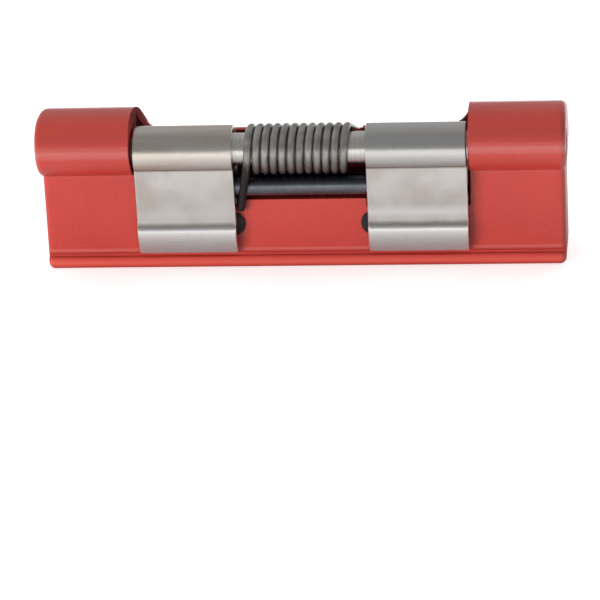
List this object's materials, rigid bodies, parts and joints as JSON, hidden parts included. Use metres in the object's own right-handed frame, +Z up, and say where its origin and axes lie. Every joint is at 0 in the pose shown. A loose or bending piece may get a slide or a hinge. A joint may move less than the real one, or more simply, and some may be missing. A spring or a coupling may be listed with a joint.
{
  "type": "vise pipe jaw",
  "caption": "Jaw insert for a bench vise with a serrated pipe-gripping face and sprung hinged sheet-steel clips that hold it on the vise.",
  "frame": {"origin": "middle of the box's bottom face, which is the flat foot that the jaw stands on", "axes": "+X along the jaw, -Y out of the back plate towards the vise, +Y out of the gripping face towards the pipe, +Z up from the foot to the head"},
  "size_m": [0.1, 0.0224, 0.0306],
  "materials": {
    "red_paint": "satin orange-peel paint over an iron casting",
    "bright_steel": "ground and bright",
    "strip_steel": "plain rolled strip, satin",
    "black_oxide": "blackened rod, semi-gloss",
    "spring_wire": "dark drawn spring wire, satin",
    "black_rubber": "matt moulded rubber"
  },
  "bodies": {
    "jaw": {"jaw_body": "red_paint", "hinge_pin": "bright_steel", "torsion_spring": "spring_wire", "stop_button_left": "black_rubber", "stop_button_right": "black_rubber"},
    "clips": {"clip_left": "strip_steel", "clip_right": "strip_steel", "link_bar": "black_oxide"}
  },
  "joints": [
    {"name": "clip_hinge", "type": "hinge", "parent": "jaw", "child": "clips", "pos_m": [0, -0.0058, 0.0232], "axis": [-1, 0, 0], "range_deg": [0, 90], "stiffness_Nm_per_rad": 0.19, "springref_deg": -5.73, "deforming": ["torsion_spring"]}
  ]
}
